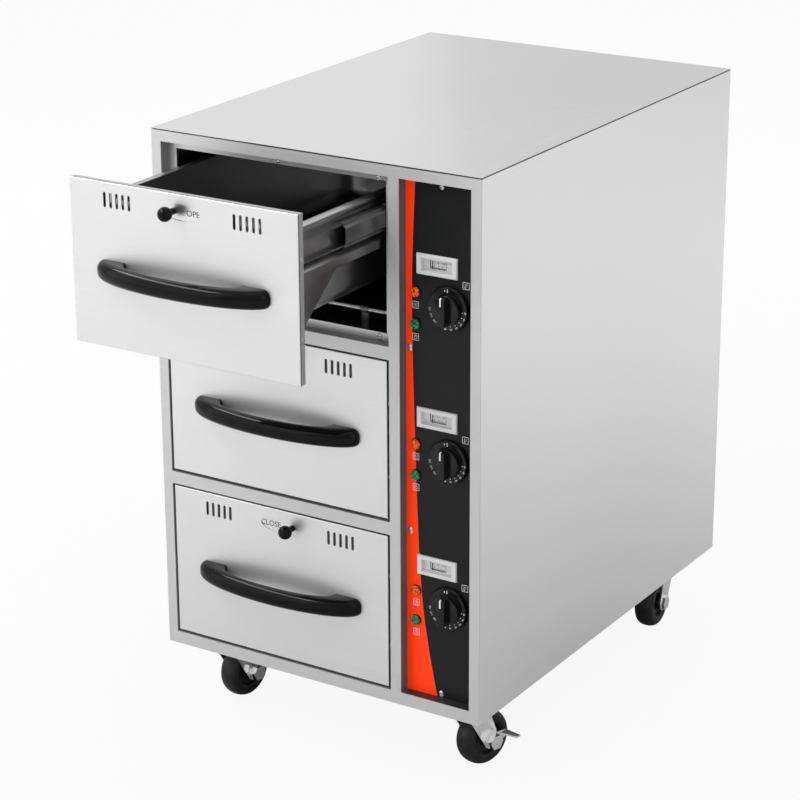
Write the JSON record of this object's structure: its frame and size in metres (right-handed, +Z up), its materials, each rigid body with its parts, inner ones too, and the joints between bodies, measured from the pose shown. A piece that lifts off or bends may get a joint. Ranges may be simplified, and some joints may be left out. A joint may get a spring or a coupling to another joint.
{
  "type": "warming drawer cabinet",
  "caption": "Warming cabinet on casters: pull-out drawers hold deep pans behind vented fronts with bow handles, beside a control strip of thermometers, lamps and knobs.",
  "frame": {"origin": "middle of the whole object's box, on the floor, with the top drawer 185 mm out as stored", "axes": "+X to the right seen from the front, +Y to the back, +Z up; the drawers open towards -Y"},
  "size_m": [0.4842, 0.913, 0.806],
  "materials": {
    "brushed_sheet": "brushed",
    "inner_sheet": "satin",
    "pan_steel": "polished",
    "zinc_steel": "zinc plated",
    "screw_steel": "bright",
    "insulation": "mineral wool",
    "element": "bright sheath",
    "black_plastic": "gloss",
    "white_plastic": "gloss",
    "panel_print": "satin black with an orange stripe and printed marks",
    "dial_card": "printed",
    "pointer_black": "matte",
    "window": "clear",
    "amber_lens": "translucent",
    "green_lens": "translucent",
    "grey_plastic": "matte",
    "tyre": "black tread"
  },
  "bodies": {
    "cabinet": {"front_frame": "brushed_sheet", "left_side_panel": "brushed_sheet", "right_side_panel": "brushed_sheet", "top_panel": "brushed_sheet", "base_panel": "inner_sheet", "back_panel": "inner_sheet", "stop_frame": "inner_sheet", "compartment_liner": "inner_sheet", "insulation_slabs": "insulation", "heating_elements": "element", "heater_clips": "zinc_steel", "slide_fixed_rails": "zinc_steel", "control_plate": "panel_print", "thermometer_bezels": "white_plastic", "thermometer_windows": "window", "thermometer_scales": "dial_card", "lamp_bodies": "black_plastic", "amber_lamp_lenses": "amber_lens", "green_lamp_lenses": "green_lens", "thermostats": "zinc_steel", "panel_screws": "screw_steel", "power_inlet": "grey_plastic", "caster_plates": "zinc_steel"},
    "drawer_bottom": {"drawer_front_bottom": "brushed_sheet", "drawer_handle_bottom": "black_plastic", "drawer_frame_bottom": "zinc_steel", "drawer_pan_bottom": "pan_steel"},
    "slide_bottom": {"slide_middle_bottom": "zinc_steel"},
    "shutter_bottom": {"vent_shutter_bottom": "pan_steel", "vent_knob_bottom": "black_plastic"},
    "knob_bottom": {"thermostat_knob_bottom": "black_plastic"},
    "needle_bottom": {"thermometer_needle_bottom": "pointer_black"},
    "drawer_middle": {"drawer_front_middle": "brushed_sheet", "drawer_handle_middle": "black_plastic", "drawer_frame_middle": "zinc_steel", "drawer_pan_middle": "pan_steel"},
    "slide_middle": {"slide_middle_middle": "zinc_steel"},
    "shutter_middle": {"vent_shutter_middle": "pan_steel", "vent_knob_middle": "black_plastic"},
    "knob_middle": {"thermostat_knob_middle": "black_plastic"},
    "needle_middle": {"thermometer_needle_middle": "pointer_black"},
    "drawer_top": {"drawer_front_top": "brushed_sheet", "drawer_handle_top": "black_plastic", "drawer_frame_top": "zinc_steel", "drawer_pan_top": "pan_steel"},
    "slide_top": {"slide_middle_top": "zinc_steel"},
    "shutter_top": {"vent_shutter_top": "pan_steel", "vent_knob_top": "black_plastic"},
    "knob_top": {"thermostat_knob_top": "black_plastic"},
    "needle_top": {"thermometer_needle_top": "pointer_black"},
    "caster_front_left": {"caster_fork_front_left": "zinc_steel"},
    "wheel_front_left": {"caster_wheel_front_left": "tyre"},
    "brake_front_left": {"brake_pedal_front_left": "zinc_steel"},
    "caster_front_right": {"caster_fork_front_right": "zinc_steel"},
    "wheel_front_right": {"caster_wheel_front_right": "tyre"},
    "brake_front_right": {"brake_pedal_front_right": "zinc_steel"},
    "caster_rear_left": {"caster_fork_rear_left": "zinc_steel"},
    "wheel_rear_left": {"caster_wheel_rear_left": "tyre"},
    "caster_rear_right": {"caster_fork_rear_right": "zinc_steel"},
    "wheel_rear_right": {"caster_wheel_rear_right": "tyre"}
  },
  "joints": [
    {"name": "bottom_drawer_slide", "type": "slide", "parent": "cabinet", "child": "drawer_bottom", "axis": [0, -1, 0], "range_m": [0, 0.5]},
    {"name": "bottom_middle_rail_slide", "type": "slide", "parent": "cabinet", "child": "slide_bottom", "axis": [0, -1, 0], "range_m": [0, 0.25]},
    {"name": "bottom_shutter_slide", "type": "slide", "parent": "drawer_bottom", "child": "shutter_bottom", "axis": [1, 0, 0], "range_m": [-0.03185, 0]},
    {"name": "bottom_thermostat_turn", "type": "hinge", "parent": "cabinet", "child": "knob_bottom", "pos_m": [0.18543, -0.2175, 0.243], "axis": [0, 1, 0], "range_deg": [0, 270]},
    {"name": "bottom_needle_slide", "type": "slide", "parent": "cabinet", "child": "needle_bottom", "axis": [1, 0, 0], "range_m": [0, 0.018]},
    {"name": "middle_drawer_slide", "type": "slide", "parent": "cabinet", "child": "drawer_middle", "axis": [0, -1, 0], "range_m": [0, 0.5]},
    {"name": "middle_middle_rail_slide", "type": "slide", "parent": "cabinet", "child": "slide_middle", "axis": [0, -1, 0], "range_m": [0, 0.25]},
    {"name": "middle_shutter_slide", "type": "slide", "parent": "drawer_middle", "child": "shutter_middle", "axis": [1, 0, 0], "range_m": [-0.03185, 0]},
    {"name": "middle_thermostat_turn", "type": "hinge", "parent": "cabinet", "child": "knob_middle", "pos_m": [0.18543, -0.2175, 0.4387], "axis": [0, 1, 0], "range_deg": [0, 270]},
    {"name": "middle_needle_slide", "type": "slide", "parent": "cabinet", "child": "needle_middle", "axis": [1, 0, 0], "range_m": [0, 0.018]},
    {"name": "top_drawer_slide", "type": "slide", "parent": "cabinet", "child": "drawer_top", "axis": [0, -1, 0], "range_m": [-0.185, 0.315]},
    {"name": "top_middle_rail_slide", "type": "slide", "parent": "cabinet", "child": "slide_top", "axis": [0, -1, 0], "range_m": [-0.0925, 0.1575]},
    {"name": "top_shutter_slide", "type": "slide", "parent": "drawer_top", "child": "shutter_top", "axis": [1, 0, 0], "range_m": [0, 0.03185]},
    {"name": "top_thermostat_turn", "type": "hinge", "parent": "cabinet", "child": "knob_top", "pos_m": [0.18543, -0.2175, 0.6344], "axis": [0, 1, 0], "range_deg": [0, 270]},
    {"name": "top_needle_slide", "type": "slide", "parent": "cabinet", "child": "needle_top", "axis": [1, 0, 0], "range_m": [0, 0.018]},
    {"name": "front_left_swivel", "type": "hinge", "parent": "cabinet", "child": "caster_front_left", "pos_m": [-0.18807, -0.1715, 0.0835], "axis": [0, 0, 1], "continuous": true},
    {"name": "front_left_roll", "type": "hinge", "parent": "caster_front_left", "child": "wheel_front_left", "pos_m": [-0.18478, -0.1447, 0.0375], "axis": [0.9925, -0.1219, 0], "continuous": true},
    {"name": "front_left_brake_pedal_turn", "type": "hinge", "parent": "caster_front_left", "child": "brake_front_left", "pos_m": [-0.18478, -0.1447, 0.0375], "axis": [0.9925, -0.1219, 0], "range_deg": [-14, 0]},
    {"name": "front_right_swivel", "type": "hinge", "parent": "cabinet", "child": "caster_front_right", "pos_m": [0.18393, -0.1715, 0.0835], "axis": [0, 0, 1], "continuous": true},
    {"name": "front_right_roll", "type": "hinge", "parent": "caster_front_right", "child": "wheel_front_right", "pos_m": [0.19182, -0.14568, 0.0375], "axis": [0.9563, -0.2924, 0], "continuous": true},
    {"name": "front_right_brake_pedal_turn", "type": "hinge", "parent": "caster_front_right", "child": "brake_front_right", "pos_m": [0.19182, -0.14568, 0.0375], "axis": [0.9563, -0.2924, 0], "range_deg": [-14, 0]},
    {"name": "rear_left_swivel", "type": "hinge", "parent": "cabinet", "child": "caster_rear_left", "pos_m": [-0.18807, 0.3745, 0.0835], "axis": [0, 0, 1], "continuous": true},
    {"name": "rear_left_roll", "type": "hinge", "parent": "caster_rear_left", "child": "wheel_rear_left", "pos_m": [-0.18996, 0.34757, 0.0375], "axis": [-0.9976, 0.0698, 0], "continuous": true},
    {"name": "rear_right_swivel", "type": "hinge", "parent": "cabinet", "child": "caster_rear_right", "pos_m": [0.18393, 0.3745, 0.0835], "axis": [0, 0, 1], "continuous": true},
    {"name": "rear_right_roll", "type": "hinge", "parent": "caster_rear_right", "child": "wheel_rear_right", "pos_m": [0.18628, 0.3476, 0.0375], "axis": [-0.9962, -0.0872, 0], "continuous": true}
  ],
  "couplings": [
    {"joint": "bottom_middle_rail_slide", "follows": "bottom_drawer_slide", "ratio": 0.5},
    {"joint": "middle_middle_rail_slide", "follows": "middle_drawer_slide", "ratio": 0.5},
    {"joint": "top_middle_rail_slide", "follows": "top_drawer_slide", "ratio": 0.5}
  ]
}
